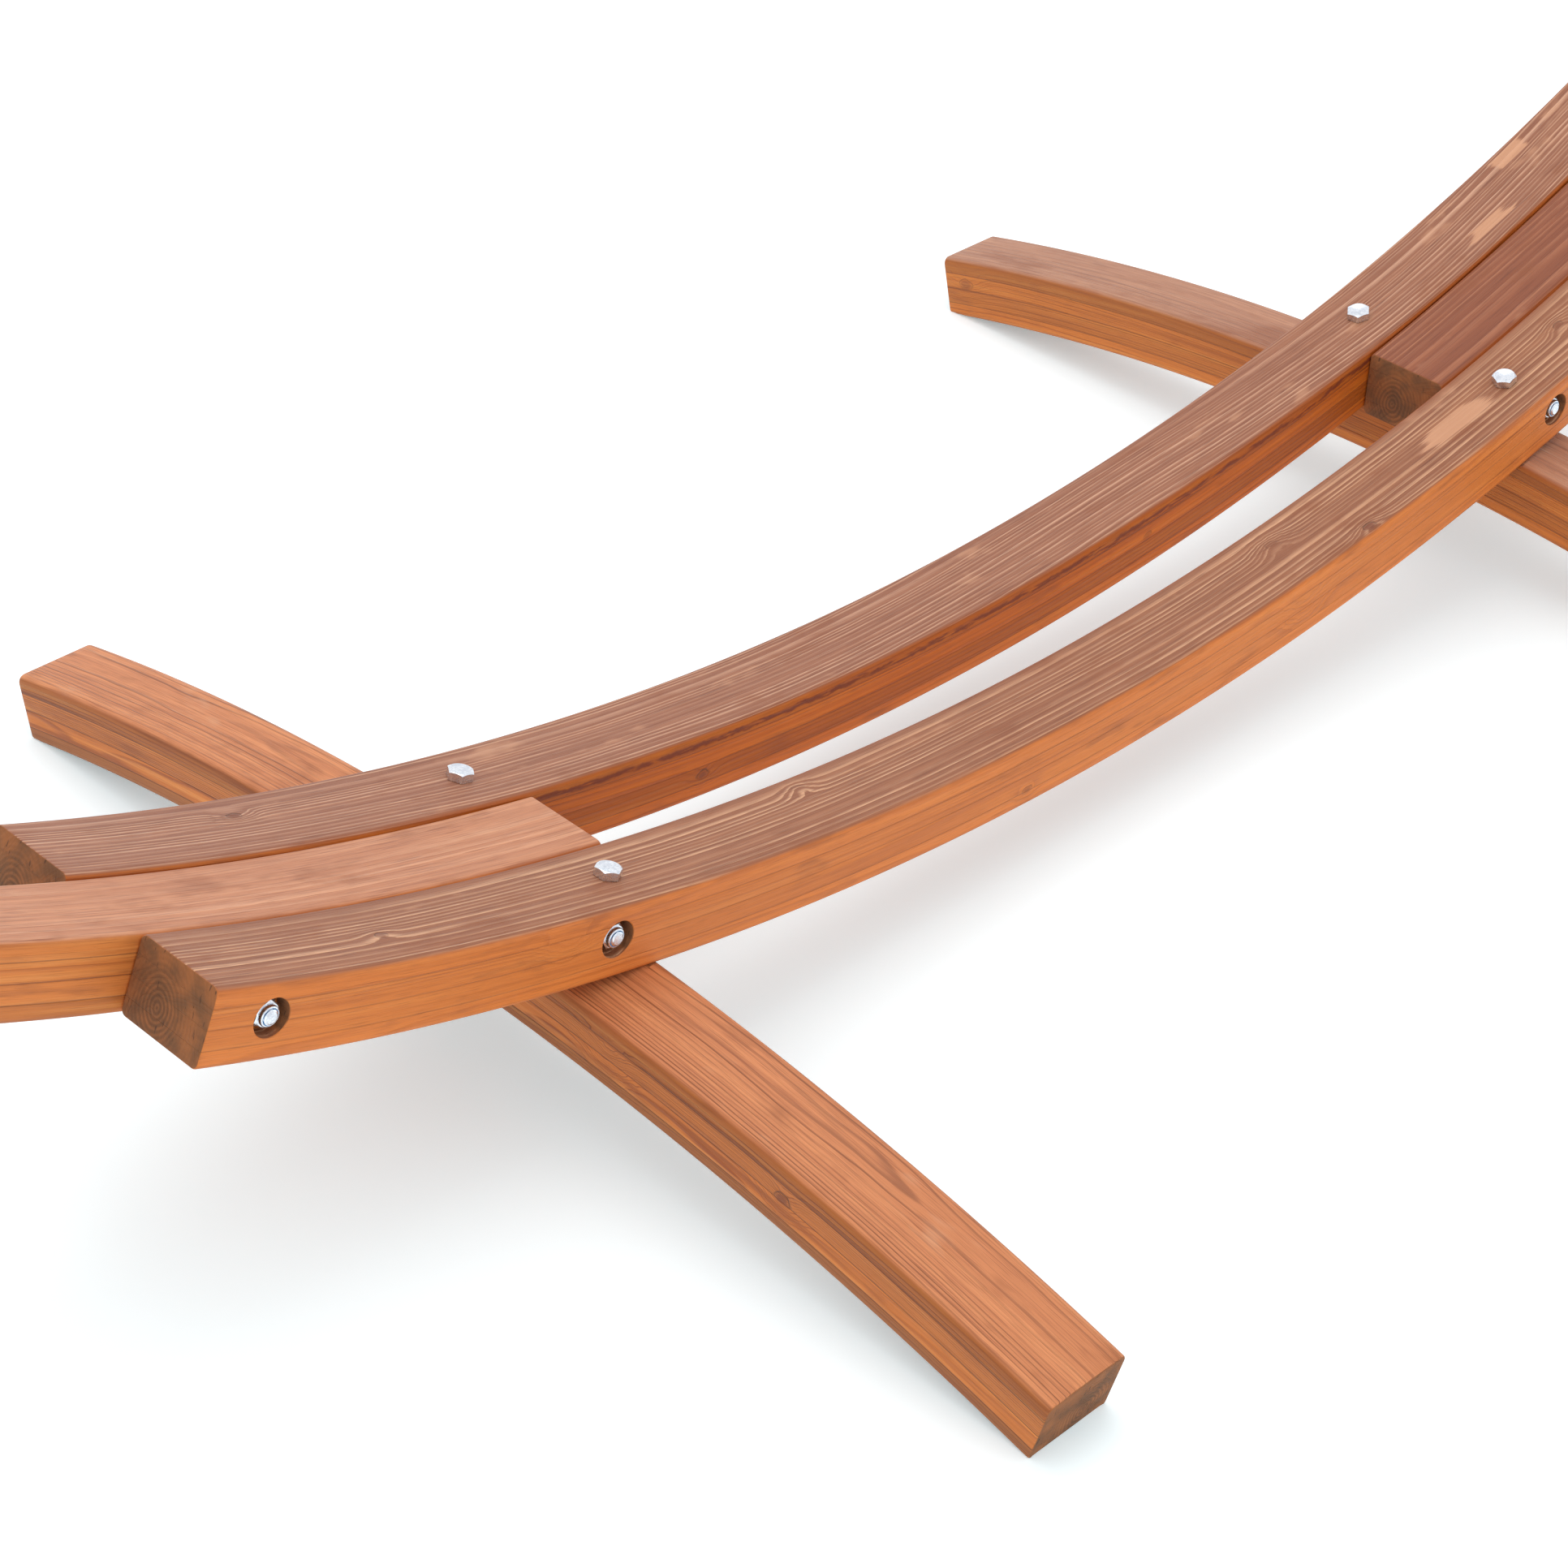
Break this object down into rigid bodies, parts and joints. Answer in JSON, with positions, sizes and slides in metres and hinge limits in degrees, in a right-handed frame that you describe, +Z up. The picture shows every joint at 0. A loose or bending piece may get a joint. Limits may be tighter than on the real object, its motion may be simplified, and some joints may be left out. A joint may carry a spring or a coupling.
{
  "type": "hammock stand",
  "caption": "Free-standing arc hammock stand: bent timber arms clamped between two bent rails on two arched cross feet, with chains and snap hooks at the tips.",
  "frame": {"origin": "on the floor under the middle of the stand", "axes": "+X along the stand from tip to tip, +Y towards the back rail, +Z up"},
  "size_m": [4.1508, 1.1554, 1.2558],
  "materials": {
    "rail_timber": "stained larch, satin",
    "arm_timber": "stained larch, satin",
    "foot_timber": "stained larch, satin",
    "zinc_fasteners": "bright zinc plate",
    "zinc_chain": "galvanised, satin"
  },
  "bodies": {
    "stand": {"rail_front": "rail_timber", "rail_back": "rail_timber", "arm_left": "arm_timber", "arm_right": "arm_timber", "foot_left": "foot_timber", "foot_right": "foot_timber", "seat_bolts": "zinc_fasteners", "seat_washers": "zinc_fasteners", "seat_nuts": "zinc_fasteners", "clamp_bolts": "zinc_fasteners", "clamp_head_washers": "zinc_fasteners", "clamp_nut_washers": "zinc_fasteners", "clamp_nuts": "zinc_fasteners", "eye_bolt_left": "zinc_fasteners", "eye_bolt_right": "zinc_fasteners", "eye_washers": "zinc_fasteners", "eye_nuts": "zinc_fasteners"},
    "link_left_1": {"chain_left_1": "zinc_chain"},
    "link_left_2": {"chain_left_2": "zinc_chain"},
    "link_left_3": {"chain_left_3": "zinc_chain"},
    "link_left_4": {"chain_left_4": "zinc_chain"},
    "snap_hook_left": {"hook_left": "zinc_chain", "gate_pin_left": "zinc_fasteners"},
    "gate_left": {"gate_left": "zinc_fasteners"},
    "link_right_1": {"chain_right_1": "zinc_chain"},
    "link_right_2": {"chain_right_2": "zinc_chain"},
    "link_right_3": {"chain_right_3": "zinc_chain"},
    "link_right_4": {"chain_right_4": "zinc_chain"},
    "snap_hook_right": {"hook_right": "zinc_chain", "gate_pin_right": "zinc_fasteners"},
    "gate_right": {"gate_right": "zinc_fasteners"}
  },
  "joints": [
    {"name": "eye_swing_left", "type": "hinge", "parent": "stand", "child": "link_left_1", "pos_m": [-1.96175, 0, 1.20759], "axis": [0, -1, 0], "range_deg": [0, 50]},
    {"name": "link_left_2_swing", "type": "hinge", "parent": "link_left_1", "child": "link_left_2", "pos_m": [-1.9366, 0, 1.16473], "axis": [0, -1, 0], "range_deg": [0, 60]},
    {"name": "link_left_3_swing", "type": "hinge", "parent": "link_left_2", "child": "link_left_3", "pos_m": [-1.91904, 0, 1.1348], "axis": [0.8625, 0, 0.506], "range_deg": [-60, 60]},
    {"name": "link_left_4_swing", "type": "hinge", "parent": "link_left_3", "child": "link_left_4", "pos_m": [-1.90148, 0, 1.10487], "axis": [0, -1, 0], "range_deg": [0, 60]},
    {"name": "hook_swing_left", "type": "hinge", "parent": "link_left_4", "child": "snap_hook_left", "pos_m": [-1.88392, 0, 1.07494], "axis": [0.8625, 0, 0.506], "range_deg": [-60, 60]},
    {"name": "gate_hinge_left", "type": "hinge", "parent": "snap_hook_left", "child": "gate_left", "pos_m": [-1.87674, -0.012, 1.06269], "axis": [0.8625, 0, 0.506], "range_deg": [0, 25], "stiffness_Nm_per_rad": 0.05, "springref_deg": -17.19},
    {"name": "eye_swing_right", "type": "hinge", "parent": "stand", "child": "link_right_1", "pos_m": [1.96175, 0, 1.20759], "axis": [0, 1, 0], "range_deg": [0, 50]},
    {"name": "link_right_2_swing", "type": "hinge", "parent": "link_right_1", "child": "link_right_2", "pos_m": [1.9366, 0, 1.16473], "axis": [0, 1, 0], "range_deg": [0, 60]},
    {"name": "link_right_3_swing", "type": "hinge", "parent": "link_right_2", "child": "link_right_3", "pos_m": [1.91904, 0, 1.1348], "axis": [0.8625, 0, -0.506], "range_deg": [-60, 60]},
    {"name": "link_right_4_swing", "type": "hinge", "parent": "link_right_3", "child": "link_right_4", "pos_m": [1.90148, 0, 1.10487], "axis": [0, 1, 0], "range_deg": [0, 60]},
    {"name": "hook_swing_right", "type": "hinge", "parent": "link_right_4", "child": "snap_hook_right", "pos_m": [1.88392, 0, 1.07494], "axis": [0.8625, 0, -0.506], "range_deg": [-60, 60]},
    {"name": "gate_hinge_right", "type": "hinge", "parent": "snap_hook_right", "child": "gate_right", "pos_m": [1.87674, -0.012, 1.06269], "axis": [0.8625, 0, -0.506], "range_deg": [0, 25], "stiffness_Nm_per_rad": 0.05, "springref_deg": -17.19}
  ]
}
